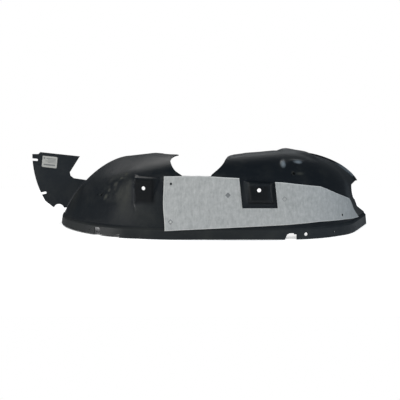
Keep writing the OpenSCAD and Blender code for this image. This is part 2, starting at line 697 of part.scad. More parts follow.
// Height of the lower and upper felt edges at a station
felt_start = front_len - felt_lead;
felt_strut_at = front_len + felt_strut_along;
felt_boss_at = front_len + rear_boss_along - rear_boss_w / 2 - rear_boss_skew;
felt_corner_at = total - felt_bend_along;
felt_tip_h = 9;
felt_foot_hold = 18;
felt_foot_sag = 1;
function felt_foot(t) = lookup(t, [[felt_start, felt_foot_front], [felt_corner_at, felt_foot_corner],
    [total - felt_corner_along - felt_foot_hold, felt_foot_corner - felt_foot_sag],
    [total - felt_tip_along, felt_foot_rear]]);
function felt_top(t) = lookup(t, [[felt_start, felt_top_front], [felt_strut_at, felt_top_strut],
    [felt_boss_at, felt_top_boss], [felt_corner_at, felt_top_corner],
    [total - felt_corner_along, felt_top_rear], [total - felt_tip_along, felt_foot_rear + felt_tip_h]]);
// Point on the band, carried on above and below it, and moved outward by off
function band_place(t, z, off) =
    let(a = lean(t), r = (z - foot_z(t)) * tan(a) - off * cos(a), n = inward(t), b = plan(t))
    [b[0] + n[0] * r, b[1] + n[1] * r, z + off * sin(a)];
felt_steps = 44;
felt_tail_steps = 4;
felt_rows = 5;
felt_stations = concat(
    [for (i = [0:felt_steps]) felt_start + (total - felt_corner_along - felt_start) * i / felt_steps],
    [for (i = [1:felt_tail_steps]) total - felt_corner_along
        + (felt_corner_along - felt_tip_along) * i / felt_tail_steps]);
function felt_z(t, k) = felt_foot(t) + (felt_top(t) - felt_foot(t)) * k / (felt_rows - 1);
module felt_skin() {
    polyhedron(points = concat(
        [for (t = felt_stations, k = [0:felt_rows - 1]) band_place(t, felt_z(t, k), felt_gap + felt_t)],
        [for (t = felt_stations, k = [0:felt_rows - 1]) band_place(t, felt_z(t, k), felt_gap)]),
        faces = skin_faces(len(felt_stations), felt_rows));
}
// Shallow diamond pressed into the face of the felt by a weld
module weld_mark(t, z) {
    side = weld_half * sqrt(2);
    face = (z - foot_z(t)) * tan(lean(t)) - (felt_gap + felt_t) / cos(lean(t));
    at_lip(t) translate([0, face, z]) rotate([0, 45, 0])
        cube([side, weld_depth * 2, side], center = true);
}
front_weld_shift = 18;
front_weld_rise = 23;
middle_weld_shift = 126;
middle_weld_drop = 48;
rear_weld_shift = 268;
rear_weld_drop = 58;
felt_hole_drop = 18;
rear_hole_along = 227;
rear_hole_rise = 10;
boss_cap = 4;
module insulation_panel() {
    color([0.68, 0.69, 0.7]) difference() {
        felt_skin();
        at_lip(front_len + rear_boss_along)
            taper_block(boss_base(-felt_boss_gap), boss_base(-felt_boss_gap), rear_boss_seat, -rear_boss_seat);
        at_lip(front_len + rear_boss_along) translate([-rear_boss_w / 2 - rear_boss_skew / 2 - felt_boss_gap,
            -rear_boss_seat, rear_boss_top - rear_boss_fall - boss_cap])
            cube([rear_boss_w + felt_boss_gap * 2, rear_boss_seat * 2, cutter]);
        wall_hole(front_len - front_weld_shift, felt_top_front - felt_hole_drop, felt_hole_r);
        wall_hole(total - rear_hole_along, felt_foot_corner + rear_hole_rise, felt_hole_r);
        weld_mark(front_len - front_weld_shift, felt_foot_front + front_weld_rise);
        weld_mark(front_len + middle_weld_shift, felt_top_strut - middle_weld_drop);
        weld_mark(front_len + rear_weld_shift, felt_top_strut - rear_weld_drop);
    }
}

module label() {
    c = label_corner_r;
    color([0.9, 0.9, 0.9]) translate([front_end_x - label_reach, front_radius, label_z])
        rotate([90, 0, 0]) linear_extrude(label_t) rotate(-label_lean) {
            square([label_w - 2 * c, label_h], center = true);
            square([label_w, label_h - 2 * c], center = true);
            for (x = [-1, 1], y = [-1, 1])
                translate([x * (label_w / 2 - c), y * (label_h / 2 - c)]) circle(r = c);
        }
}

// Shift that puts the origin under the middle of the overall box
x_low = front_end_x - flap_reach;
x_high = plan(total)[0] + lip_flare * sin(rear_turn);
y_low = -rear_boss_proud;
y_high = skin_point(total, rows - 1, 0)[1];
module placed() {
    translate([-(x_low + x_high) / 2, -(y_low + y_high) / 2, 0]) children();
}

placed() liner_shell();
placed() insulation_panel();
placed() label();
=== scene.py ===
import math
import bmesh
import bpy
from mathutils import Matrix, Vector, noise


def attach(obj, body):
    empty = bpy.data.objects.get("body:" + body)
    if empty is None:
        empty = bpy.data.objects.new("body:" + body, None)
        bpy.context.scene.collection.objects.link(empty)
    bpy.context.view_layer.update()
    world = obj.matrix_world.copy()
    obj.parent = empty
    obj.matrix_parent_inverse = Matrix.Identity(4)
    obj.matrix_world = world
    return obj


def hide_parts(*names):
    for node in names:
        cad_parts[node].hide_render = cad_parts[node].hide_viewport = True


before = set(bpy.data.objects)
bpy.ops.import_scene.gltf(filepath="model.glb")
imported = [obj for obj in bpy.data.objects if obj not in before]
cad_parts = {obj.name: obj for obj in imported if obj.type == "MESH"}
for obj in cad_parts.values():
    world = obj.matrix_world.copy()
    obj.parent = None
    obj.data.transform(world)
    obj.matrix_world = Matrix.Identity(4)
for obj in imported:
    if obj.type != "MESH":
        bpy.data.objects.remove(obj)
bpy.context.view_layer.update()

# Camera and floor.
# The liner stands on its lip on a white sheet, seen straight on from a little above.
# The camera aims at the middle of the band, 2.3 m away, with a short telephoto lens.
aim = Vector((0.0046, -0.1763, 0.1004))
camera_height = math.radians(7.0)
camera_distance = 2.3
lens_length = 82.8
film_width = 36.0
camera_data = bpy.data.cameras.new("photo_camera")
camera_data.lens = lens_length
camera_data.sensor_width = film_width
camera = bpy.data.objects.new("photo_camera", camera_data)
camera.location = aim + camera_distance * Vector((0.0, -math.cos(camera_height), math.sin(camera_height)))
camera.rotation_euler = (math.pi / 2 - camera_height, 0.0, 0.0)
bpy.context.collection.objects.link(camera)
bpy.context.scene.camera = camera
bpy.context.scene.view_settings.view_transform = "Standard"


def new_material(name):
    """A new material and its node tree, which is empty."""
    material = bpy.data.materials.new(name)
    material.use_nodes = True
    material.node_tree.nodes.clear()
    return material, material.node_tree


def add_node(tree, kind, values=None, **settings):
    """A node with its settings. Each input named in values gets a link or a plain value."""
    node = tree.nodes.new(kind)
    for key, value in settings.items():
        setattr(node, key, value)
    for key, value in (values or {}).items():
        socket = node.inputs[key]
        if isinstance(value, bpy.types.NodeSocket):
            tree.links.new(value, socket)
        else:
            socket.default_value = value
    return node


def finished_object(name, shape):
    """Makes an object of a finished bmesh and frees the bmesh."""
    mesh = bpy.data.meshes.new(name)
    shape.to_mesh(mesh)
    shape.free()
    piece = bpy.data.objects.new(name, mesh)
    bpy.context.collection.objects.link(piece)
    return piece


# The paper glows white for the camera. Ambient occlusion turns the glow down where the liner stands close
# over it, a painted shadow, so the slot in the lip shows the dark floor under the dome.
half_sheet = 0.95
shelter_reach = 0.15
sheltered = 0.44
unsheltered = 0.61
shaded_glow = 0.02
open_glow = 0.88
white = (1.0, 1.0, 1.0, 1.0)
sheet_shape = bmesh.new()
bmesh.ops.create_grid(sheet_shape, x_segments=1, y_segments=1, size=half_sheet)
white_floor = finished_object("white_floor", sheet_shape)
paper, tree = new_material("white_paper")
ray = add_node(tree, "ShaderNodeLightPath")
lit_paper = add_node(tree, "ShaderNodeBsdfDiffuse", {"Color": (0.74, 0.74, 0.74, 1.0)})
openness = add_node(tree, "ShaderNodeAmbientOcclusion", {"Distance": shelter_reach}, samples=12)
glow_strength = add_node(tree, "ShaderNodeMapRange", {
    "Value": openness.outputs["AO"], "From Min": sheltered, "From Max": unsheltered,
    "To Min": shaded_glow, "To Max": open_glow})
glow = add_node(tree, "ShaderNodeEmission", {"Color": white, "Strength": glow_strength.outputs[0]})
no_glow = add_node(tree, "ShaderNodeEmission", {"Color": (0.0, 0.0, 0.0, 1.0), "Strength": 0.0})
seen_glow = add_node(tree, "ShaderNodeMixShader", {0: ray.outputs["Is Camera Ray"],
    1: no_glow.outputs[0], 2: glow.outputs[0]})
paper_sum = add_node(tree, "ShaderNodeAddShader", {0: lit_paper.outputs[0], 1: seen_glow.outputs[0]})
add_node(tree, "ShaderNodeOutputMaterial", {"Surface": paper_sum.outputs[0]})
white_floor.data.materials.append(paper)

# Lamps.
# A wide soft lamp stands before the liner and a blue one at its right. Neither is seen in the plastic, which
# mirrors only the three weak ones: above and behind, at the left, and behind the rear end for its rim.


def soft_lamp(name, place, target, size, power, color, mirrored=True):
    data = bpy.data.lights.new(name, "AREA")
    data.shape = "RECTANGLE"
    data.size, data.size_y = size
    data.energy = power
    data.color = color
    lamp = bpy.data.objects.new(name, data)
    lamp.location = place
    lamp.rotation_euler = (Vector(target) - Vector(place)).to_track_quat("-Z", "Y").to_euler()
    lamp.visible_glossy = mirrored
    bpy.context.collection.objects.link(lamp)


soft_lamp("front_lamp", (-0.9, -2.6, 1.05), (0.0, -0.1, 0.1), (2.2, 0.9), 48.0, (1.0, 0.998, 0.985), False)
soft_lamp("top_lamp", (-0.6, 1.4, 1.35), (-0.15, -0.05, 0.12), (1.2, 0.6), 3.6, (1.0, 0.99, 0.97))
soft_lamp("left_lamp", (-2.3, -0.7, 0.55), (-0.2, -0.05, 0.1), (0.8, 0.8), 12.0, (1.0, 0.99, 0.98))
soft_lamp("rim_lamp", (0.45, 1.6, 1.1), (0.2, 0.0, 0.15), (1.0, 0.3), 1.2, (0.95, 0.98, 1.0))
soft_lamp("side_lamp", (2.2, -1.3, 1.1), (0.1, 0.0, 0.1), (0.8, 0.8), 21.5, (0.80, 0.90, 1.0), False)

world = bpy.data.worlds.new("white_room")
bpy.context.scene.world = world
world.use_nodes = True
tree = world.node_tree
tree.nodes.clear()
ray = add_node(tree, "ShaderNodeLightPath")
room_light = add_node(tree, "ShaderNodeBackground", {"Color": (0.80, 0.91, 1.0, 1.0), "Strength": 0.09})
backdrop = add_node(tree, "ShaderNodeBackground", {"Color": white, "Strength": 1.0})
room = add_node(tree, "ShaderNodeMixShader", {
    0: ray.outputs["Is Camera Ray"], 1: room_light.outputs[0], 2: backdrop.outputs[0]})
add_node(tree, "ShaderNodeOutputWorld", {"Surface": room.outputs[0]})

# Liner shell.
# The real shell is one injection moulding in black polypropylene, 2.5 mm thick, whose section changes
# along the arch from a low dome at the front end to a tall wall at the strut and a full rear corner.
# A flat sheet of faces is wrapped round that form in millimetres, given its wall, and cut as the moulding is.
metres = 0.001
part_shift = Vector((79.0614, -176.3174, 0.0))
wall = 2.5

# The lip's path in plan, by the length from the front end: a front curve, the crown, a rear curve and a leg.
front_radius = 330.0
crown_length = 261.0
rear_radius = 217.0
rear_turn = math.radians(69.0)
rear_leg = 150.0
front_length = front_radius * math.pi / 2
crown_end = front_length + crown_length
rear_length = rear_radius * rear_turn
arch_length = crown_end + rear_length + rear_leg
front_end_x = -crown_length / 2 - front_radius

# The section at five places along that path. Fullness says how round the shoulder is.
section_places = [0.0, front_length * 0.5, front_length + crown_length * 0.45,
    crown_end + rear_length * 0.35, arch_length]
band_heights = [48.0, 120.0, 157.0, 129.0, 103.0]
band_leans = [28.0, 32.0, 3.5, 7.5, 14.0]
shoulder_rises = [139.0, 80.0, 50.0, 90.0, 91.0]
shoulder_runs = [180.0, 170.0, 110.0, 152.0, 190.0]
fullness = 0.55
inboard_width = 30.0
inboard_drop = 3.5

# The lip flares outward at its foot. At both ends it stands a step before the band, and as far as the
# sawtooth its foot is lifted off the floor.
lip_start_height = 23.0
lip_growth = 4.0
lip_growth_length = 250.0
lip_slope = 3.0
lip_flare = 2.0
step_flare = 5.0
step_depth = 4.0
front_step_fade = (370.0, 420.0)
rear_step_fade = (arch_length - 255.0, arch_length - 205.0)
sawtooth_along = 346.0
sawtooth_length = 20.0
front_lip_lift = 3.5

# The flat flap before the front end, the bend that joins it, and the raised rim at the rear end.
flap_length = 219.0
bend_radius = 4.0
end_rim = 9.0
end_rim_rise = 4.0


def ease(x, low, high):
    """Zero up to low and one from high, with a smooth rise between them."""
    share = min(1.0, max(0.0, (x - low) / (high - low)))
    return share * share * (3.0 - 2.0 * share)


def through(values, along):
    """A smooth curve through one value at each of the five section places."""

    def chord(i):
        return (values[i + 1] - values[i]) / (section_places[i + 1] - section_places[i])

    def slope(i):
        if i in (0, 4):
            return chord(min(i, 3))
        before = section_places[i] - section_places[i - 1]
        after = section_places[i + 1] - section_places[i]
        return (chord(i - 1) * after + chord(i) * before) / (before + after)

    i = max(n for n in range(4) if along >= section_places[n] or n == 0)
    span = section_places[i + 1] - section_places[i]
    x = min(1.0, max(0.0, (along - section_places[i]) / span))
    return ((2 * x ** 3 - 3 * x ** 2 + 1) * values[i] + (x ** 3 - 2 * x ** 2 + x) * span * slope(i)
        + (3 * x ** 2 - 2 * x ** 3) * values[i + 1] + (x ** 3 - x ** 2) * span * slope(i + 1))


def heading(along):
    """The turn of the lip in plan: a quarter turn at the front end, none on the crown, 69 degrees behind."""
    if along < front_length:
        return -(front_length - along) / front_radius
    return 0.0 if along < crown_end else min(rear_turn, (along - crown_end) / rear_radius)


def lip_line(along):
    """The place of the lip's foot in plan, by the length from the front end."""
    turn = heading(along)
    leg = max(0.0, along - crown_end - rear_length)
    if along < front_length:
        return Vector((-crown_length / 2 + front_radius * math.sin(turn),
            front_radius * (1 - math.cos(turn)), 0.0))
    if along < crown_end:
        return Vector((-crown_length / 2 + along - front_length, 0.0, 0.0))
    return Vector((crown_length / 2 + rear_radius * math.sin(turn) + leg * math.cos(turn),
        rear_radius * (1 - math.cos(turn)) + leg * math.sin(turn), 0.0))


def inward(along):
    return Vector((-math.sin(heading(along)), math.cos(heading(along)), 0.0))


def onward(along):
    return Vector((math.cos(heading(along)), math.sin(heading(along)), 0.0))


def lip_height(along):
    return lip_start_height + lip_growth * ease(along, 0.0, lip_growth_length)


def band_foot(along):
    return lip_height(along) + lip_slope


def section_column(along):
    """Insets, heights and normal angles of one section, from the foot of the lip to the inboard edge."""
    stepped = max(1 - ease(along, *front_step_fade), ease(along, *rear_step_fade))
    lifted = front_lip_lift * (1 - ease(along, sawtooth_along, sawtooth_along + sawtooth_length))
    lean = math.radians(through(band_leans, along))
    foot = band_foot(along)
    band_top = through(band_heights, along)
    rise = through(shoulder_rises, along)
    run = through(shoulder_runs, along)
    step = -step_depth * stepped
    flare = -lip_flare - step_flare * stepped
    column = []
    for share in (0.0, 0.3, 0.6, 0.85, 1.0):
        column.append((flare + (step - flare) * share, lifted + (lip_height(along) - lifted) * share,
            lean / 4 * share))
    for share in (0.3, 0.65, 1.0):
        column.append((step * (1 - ease(share, 0.0, 1.0)), lip_height(along) + lip_slope * share,
            lean / 4 * (1 + share)))

    # The shoulder is one cubic curve from the band's top to the inboard edge. Its first handle goes on up the
    # band's lean, and its second lies level with the edge.
    band_top_inset = (band_top - foot) * math.tan(lean)
    foot_height = fullness * rise
    foot_inset = foot_height * math.tan(lean)
    top_inset = run - fullness * (run - rise * math.tan(lean))

    def shoulder(u):
        w = 1 - u
        inset = 3 * u * w * w * foot_inset + 3 * u * u * w * top_inset + u ** 3 * run
        height = 3 * u * w * w * foot_height + 3 * u * u * w * rise + u ** 3 * rise
        inset_change = w * w * foot_inset + 2 * u * w * (top_inset - foot_inset) + u * u * (run - top_inset)
        height_change = w * w * foot_height + 2 * u * w * (rise - foot_height)
        return band_top_inset + inset, band_top + height, math.atan2(inset_change, height_change)

    def share_at(height):
        low, high = 0.0, 1.0
        for _ in range(halvings):
            middle = (low + high) / 2
            low, high = (middle, high) if shoulder(middle)[1] < height else (low, middle)
        return (low + high) / 2

    for height in level_heights:
        z = foot + (lowest_level - foot) * (height + 5.0) / 5.0 if height <= 0.0 else height
        if z <= band_top:
            column.append(((z - foot) * math.tan(lean), z, lean * (0.5 + 0.5 * ease(z, foot, foot + 10.0))))
        else:
            column.append(shoulder(share_at(z)))
    start = share_at(level_heights[-1])
    for row in range(1, shoulder_rows + 1):
        column.append(shoulder(start + (1 - start) * row / shoulder_rows))
    last = column[-1]
    for row in range(1, inboard_rows + 1):
        column.append((last[0] + inboard_width * row / inboard_rows,
            last[1] - inboard_drop * row / inboard_rows, last[2]))
    return column


# Rows of the sheet: up to 0 they share out the slope under the lowest level, and above it they are heights.
lowest_level = 40.0
level_heights = ([-4.0, -3.0, -2.0, -1.0, 0.0] + [42.5 + 2.5 * i for i in range(14)]
    + [76.6 + 2.0 * i for i in range(38)] + [151.6, 152.5, 154.0, 156.0, 158.0, 160.0])
shoulder_rows = 38
inboard_rows = 4
halvings = 22


def soft_least(a, b, fillet):
    """The smaller of two values, rounded off where they come within the fillet of each other."""
    closeness = max(fillet - abs(a - b), 0.0) / fillet
    return min(a, b) - closeness * closeness * fillet / 4


def soft_most(a, b, fillet):
    return -soft_least(-a, -b, fillet)


# Screw bosses. Depths run inward from the lip line, x along the arch from the boss's middle and z up.
front_boss_along = 423.0
rear_boss_along = front_length + 204.0
boss_screw_height = 126.0
front_boss_face = 22.0
front_boss_half = 23.0
front_boss_top = 149.0
front_boss_roof = 152.0
front_boss_reach = 62.0
rear_boss_face = -11.6
rear_boss_seat = 18.0
rear_boss_foot = 80.0
rear_boss_foot_run = 19.0
rear_boss_reach = 60.0
boss_fillet = 3.0
boss_zone_depth = 130.0
boss_zone_foot = 30.0
boss_zone_top = 175.0


def front_boss_depth(x, z):
    depth = soft_most(front_boss_face, front_boss_face + (x - front_boss_half), 2.0)
    depth = soft_most(depth, front_boss_face + (-front_boss_half - x) * 2.75, 1.6)
    depth = soft_most(depth, front_boss_face + (z - front_boss_top), 2.0)
    return soft_most(depth, front_boss_face + 7.0 + (z - front_boss_roof) * 14.0, 1.0)


def rear_boss_depth(x, z):
    """The face sinks back to the seat over four bevels, each from a seat line to a face line."""
    up_seat = z - rear_boss_foot
    up_face = up_seat - rear_boss_foot_run
    top_seat = 153.0 - 9.0 * (x + 46.0) / 85.0
    top_face = 144.0 - (x + 26.0) / 50.0
    left_seat = -39.0 - 7.0 * up_seat / 73.0
    left_face = -20.0 - 6.0 * up_face / 45.0
    right_seat = 46.0 - 7.0 * up_seat / 73.0
    right_face = 30.0 - 6.0 * up_face / 45.0
    bevels = ((up_seat / rear_boss_foot_run, 2.0),
        ((top_seat - z) / max(2.0, top_seat - top_face), 1.5),
        ((x - left_seat) / (left_face - left_seat), 2.0),
        ((right_seat - x) / (right_seat - right_face), 2.0))
    depth = rear_boss_face
    for share, fillet in bevels:
        depth = soft_most(depth, rear_boss_seat - 30.0 * share, fillet)
    return depth


def raise_boss(point, along, depth_at, reach):
    """Brings a point of the wall forward to a boss's surface where that stands before the wall."""
    offset = point - lip_line(along)
    x = offset.dot(onward(along))
    y = offset.dot(inward(along))
    if abs(x) > reach or y > boss_zone_depth or not boss_zone_foot < point.z < boss_zone_top:
        return point
    return point + inward(along) * (soft_least(y, depth_at(x, point.z), boss_fillet) - y)


def plain_point(along, row, columns, offset):
    """A point of a section's row, moved outward by the offset, or forward on the flap."""
    inset, height, angle = columns[row]
    level = lip_line(along) + inward(along) * (inset - offset * math.cos(angle))
    return level + Vector((0.0, 0.0, height + offset * math.sin(angle)))


def swell(point, centre, long_way, size, width, height):
    """How far a swelling lifts a point: most at its middle and nothing at its rim."""
    offset = point - centre
    share = offset.dot(long_way)
    distance = math.sqrt((share / size) ** 2 + (offset - long_way * share).length_squared / width ** 2)
    return height * (1 - ease(distance, 0.0, 1.0))


# Each swelling has its middle, the way it runs, its half length, its half width and its rise.
# In order: the two lobes of the rear shoulder, the crease in the rear end, the pad under the lobes, the
# hollow and the crest above the lobes, the hollow beside the strut, the dome's foot and the two creases
# before the front boss.
swellings = [
    (Vector((136.0, 41.0, 186.0)), Vector((0.06, 0.81, 0.58)), 26.0, 11.0, 5.5),
    (Vector((173.0, 61.0, 191.5)), Vector((0.93, 0.37, 0.0)), 28.0, 12.0, 5.0),
    (Vector((329.2, 270.3, 145.2)), Vector((0.732, 0.427, -0.530)), 56.0, 5.5, -3.2),
    (Vector((160.0, 42.0, 178.0)), Vector((0.93, 0.37, 0.0)), 48.0, 34.0, 2.5),
    (Vector((143.0, 136.0, 216.0)), Vector((1.0, 0.0, 0.0)), 30.0, 50.0, -2.6),
    (Vector((208.0, 140.0, 210.0)), Vector((0.93, 0.37, 0.0)), 44.0, 40.0, 4.6),
    (Vector((14.0, 112.0, 208.0)), Vector((1.0, 0.0, 0.0)), 34.0, 55.0, -4.2),
    (Vector((-462.0, 318.0, 46.0)), Vector((0.03, -1.0, 0.0)), 70.0, 16.0, 4.5),
    (Vector((-246.6, 71.3, 120.0)), Vector((0.034, -0.573, -0.819)), 50.0, 4.5, -3.0),
    (Vector((-236.0, 34.0, 56.0)), Vector((0.25, -0.28, -0.93)), 34.0, 4.5, -1.2)]

# Columns of the sheet: the flap by its distance from the bend, the bend by its turn, and the shell by its
# place along the arch, closer together round the bosses, the lobes and the rear end.
wall_columns = [("flap", flap_length - (flap_length - bend_radius) * i / 16) for i in range(17)]
wall_columns += [("bend", i * 15.0) for i in range(1, 7)]
along = bend_radius
while along < arch_length - end_rim - 0.1:
    near_boss = abs(along - front_boss_along - 8.0) < 46.0 or abs(along - rear_boss_along) < 54.0
    fine_form = 770.0 < along < 925.0 or along > 1080.0
    wall_columns.append(("shell", along))
    along += 1.7 if near_boss else 2.8 if fine_form else 5.0
wall_columns += [("shell", arch_length - end_rim + i) for i in range(10)]

rows_in_wall = len(section_column(0.0))
liner_sheet = bmesh.new()
bmesh.ops.create_grid(liner_sheet, x_segments=len(wall_columns) - 1, y_segments=rows_in_wall - 1, size=1.0)
liner_sheet.verts.ensure_lookup_table()
sorted_verts = sorted(liner_sheet.verts, key=lambda v: (round(v.co.x * 4000), round(v.co.y * 4000)))
for number, (kind, value) in enumerate(wall_columns):
    turn = math.radians(value) if kind == "bend" else 0.0
    along = value if kind == "shell" else bend_radius * (1 - math.cos(turn))
    offset = value if kind == "flap" else bend_radius * (1 - math.sin(turn))
    columns = section_column(along)
    for row in range(rows_in_wall):
        vert = sorted_verts[number * rows_in_wall + row]
        if kind != "shell":
            vert.co = plain_point(along, row, columns, offset)
            continue
        band_top = through(band_heights, along)
        rim = end_rim_rise * ease(along, arch_length - end_rim, arch_length - 3.0)
        rim *= ease(columns[row][1] + columns[row][2], band_top - 5.0, band_top + 5.0)
        point = plain_point(along, row, columns, rim)
        point = raise_boss(point, front_boss_along, front_boss_depth, front_boss_reach)
        point = raise_boss(point, rear_boss_along, rear_boss_depth, rear_boss_reach)

        # The skin of a moulding is never quite even: a broad ripple and a finer one, and the swellings.
        angle = columns[row][2]
        outward = Vector((0.0, 0.0, math.sin(angle))) - inward(along) * math.cos(angle)
        ripple = noise.noise(point * 0.012) * 0.7
        ripple += noise.noise(point * 0.03 + Vector((7.0, 3.0, 1.0))) * 0.25
        free = ease(point.z, 30.0, 60.0)
        lift = sum(swell(point, *one) for one in swellings)
        vert.co = point + outward * (ripple * free + lift)
for vert in liner_sheet.verts:
    vert.co = (vert.co + part_shift) * metres
liner_sheet.normal_update()
front_of_wall = Vector((0.0, -0.17, 0.12))
middle_face = min(liner_sheet.faces, key=lambda f: (f.calc_center_median() - front_of_wall).length)
if middle_face.normal.y > 0:
    bmesh.ops.reverse_faces(liner_sheet, faces=liner_sheet.faces)
moulded_liner = finished_object("moulded_liner", liner_sheet)
thicken = moulded_liner.modifiers.new("wall", "SOLIDIFY")
thicken.thickness = wall * metres
thicken.offset = -1.0
thicken.use_even_offset = False


def placed_solid(name, shape, placing):
    """Turns a closed shape in millimetres into an object of that name in its place on the part."""
    to_part = Matrix.Scale(metres, 4) @ Matrix.Translation(part_shift) @ placing
    bmesh.ops.transform(shape, matrix=to_part, verts=shape.verts)
    bmesh.ops.recalc_face_normals(shape, faces=shape.faces)
    return finished_object(name, shape)


def lip_frame(along):
    return Matrix.Translation(lip_line(along)) @ Matrix.Rotation(heading(along), 4, "Z")


def prism(outline, depth):
    """A prism whose outline lies in X and Z and whose depth runs along Y, centred."""
    shape = bmesh.new()
    face = shape.faces.new([shape.verts.new((x, -depth / 2, z)) for x, z in outline])
    sides = bmesh.ops.extrude_face_region(shape, geom=[face])
    far_verts = [one for one in sides["geom"] if isinstance(one, bmesh.types.BMVert)]
    bmesh.ops.translate(shape, vec=(0.0, depth, 0.0), verts=far_verts)
    return shape


def rounded_line(points):
    """The same points with three more on the smooth curve between each two."""
    line = [points[0]]
    last = len(points) - 1
    for i in range(last):
        before, start, end, after = (Vector(points[min(max(n, 0), last)]) for n in range(i - 1, i + 3))
        for u in (0.25, 0.5, 0.75, 1.0):
            between = start * (2 - 5 * u ** 2 + 3 * u ** 3) + end * (u + 4 * u ** 2 - 3 * u ** 3)
            outside = before * (2 * u ** 2 - u - u ** 3) + after * (u ** 3 - u ** 2)
            line.append(tuple((between + outside) / 2))
    return line


def round_cutter(radius, length, segments=48):
    shape = bmesh.new()
    bmesh.ops.create_cone(shape, cap_ends=True, segments=segments, radius1=radius, radius2=radius,
        depth=length)
    return shape


flat_turn = Matrix.Rotation(math.pi / 2, 4, "X")
deep_cut = 120.0
shallow_cut = 60.0
shell_cutters = []


def cut_shell(shape, placing):
    shell_cutters.append(placed_solid("shell_cutter_%d" % len(shell_cutters), shape, placing))


def hole_across(along, height, radius, x=0.0):
    place = lip_frame(along) @ Matrix.Translation((x, 20.0, height))
    cut_shell(round_cutter(radius, deep_cut), place @ flat_turn)


# Strut opening, cut from above, with its mouth toward the inboard edge. A round cut then clears the centre of
# the rear curve, where the inboard edge runs together.
opening_place = Matrix.Translation((-75.0, 82.0, 219.0)) @ Matrix.Rotation(-math.pi / 2, 4, "X")
mouth = [(74.5, 4.0), (72.4, -3.5), (70.6, -9.5), (69.0, -15.0), (67.1, -21.5), (64.1, -32.0),
    (61.2, -42.0), (57.4, -50.3), (53.1, -56.9), (48.1, -62.2), (42.4, -66.2), (35.9, -69.2),
    (27.0, -71.6), (14.0, -74.0), (0.0, -74.5), (-14.0, -72.5), (-28.0, -67.5), (-38.0, -63.0),
    (-47.0, -58.7), (-54.0, -54.8), (-60.3, -50.0), (-65.2, -43.8), (-68.8, -36.4), (-71.5, -28.2),
    (-73.6, -18.4), (-75.2, -8.5), (-75.6, -1.0), (-75.2, 7.0), (-74.2, 14.0), (-72.0, 22.0),
    (-69.0, 30.5), (-65.0, 38.5), (-60.8, 45.4), (-55.6, 51.8)]
mouth_end = [(-105.3, 173.5), (116.8, 173.5)]
cut_shell(prism(rounded_line(mouth) + mouth_end, deep_cut), opening_place)
cut_shell(round_cutter(42.0, 2 * deep_cut, 64), Matrix.Translation((crown_length / 2, rear_radius, 147.0)))

# Recess in the rear end, a round with a mouth that widens to the edge.
recess_radius = 20.0
recess_place = Matrix.Translation((recess_radius - 104.0, 0.0, 98.0))
rear_end = lip_frame(arch_length)
cut_shell(round_cutter(recess_radius, deep_cut), rear_end @ recess_place @ flat_turn)
recess_mouth = [(-84.0, 78.0), (-72.0, 58.0), (1.0, 34.0), (1.0, 121.0), (-84.0, 118.0)]
cut_shell(prism(recess_mouth, deep_cut), rear_end)

# Slot, sawtooth and relief in the lip, cut from a millimetre below its foot, and the round holes.
slot = [(-10.0, -1.0), (10.0, -1.0), (10.0, 16.0), (8.5, 19.5), (5.0, 21.0), (-5.0, 21.0), (-8.5, 19.5),
    (-10.0, 16.0)]
sawtooth = [(0.0, -1.0), (sawtooth_length, -1.0), (sawtooth_length, 10.0), (0.0, front_lip_lift)]
relief = [(-15.0, -1.0), (15.0, -1.0), (15.0, 13.0), (9.0, 13.0), (8.0, 16.0), (-3.0, 16.0), (-9.0, 13.0),
    (-15.0, 0.0)]
for outline, along in ((slot, 295.0), (sawtooth, sawtooth_along), (relief, front_length + 284.0)):
    cut_shell(prism(outline, shallow_cut), lip_frame(along))
lip_hole_height = 12.5
pin_radius = 2.0
hole_across(front_length + 324.0, lip_hole_height, 4.5)
for along in (269.0, arch_length - 259.0, arch_length - 149.0):
    hole_across(along, lip_hole_height, pin_radius)

# Blind pin pits in the front of the band and in the rear shoulder, square to the surface there.
for along, height, rise in ((258.3, 97.6, 13.6), (arch_length - 376.5, 164.5, 14.4)):
    inset, level, angle = next(one for one in section_column(along) if one[1] >= height)
    pit_place = lip_frame(along) @ Matrix.Translation((0.0, inset, level))
    cut_shell(round_cutter(pin_radius, 30.0, 24), pit_place @ Matrix.Rotation(math.pi / 2 - angle, 4, "X")
        @ Matrix.Translation((0.0, 0.0, rise)))
hole_across(front_boss_along, boss_screw_height, 5.0)
hole_across(rear_boss_along, boss_screw_height, 5.0, -1.0)

# Outline of the extension flap, trimmed out of the flat front end of the sheet. Its front edge is an arc.
flap_edge_radius = 265.0
flap_edge_height = 188.0
flap_reach = 91.0
flap_bolt_half = 3.25
flap_slot_inset = 12.5
flap_edge_levels = (191.5, 180.0, 165.0, 150.0, 135.0, 120.0, 105.0, 90.0, 75.0, 65.0, 57.5)


def flap_edge_at(z):
    """How far the arc of the flap's front edge lies before the bend at one height."""
    sag = flap_edge_radius * (1 - math.cos(math.asin((z - flap_edge_height) / flap_edge_radius)))
    return flap_reach - sag


flap_edge = [(-flap_edge_at(z), z) for z in flap_edge_levels] + [(-32.0, 38.0)]
flap_back = [(17.0 - flap_reach, 191.5), (23.0 - flap_reach, 197.0), (44.0, 185.0), (14.5, 139.0),
    (16.5, 130.0), (25.5, 122.5), (70.0, 116.0), (70.0, 47.0), (0.0, 38.0)]
flap_place = Matrix.Translation((front_end_x, front_radius, 0.0))
flap_solid = placed_solid("flap_outline", prism(flap_back + flap_edge[::-1], shallow_cut), flap_place)
flap_slab = bmesh.new()
slab_form = Matrix.Translation((0.0, 1.25, 267.0)) @ Matrix.Diagonal((645.0, 4.5, 537.0, 1.0))
bmesh.ops.create_cube(flap_slab, size=1.0, matrix=slab_form)
cut_shell(flap_slab, flap_place)
flap_trim = shell_cutters[-1]


def cut_away(piece, cutter):
    step = piece.modifiers.new(cutter.name, "BOOLEAN")
    step.operation = "DIFFERENCE"
    step.solver = "MANIFOLD"
    step.object = cutter


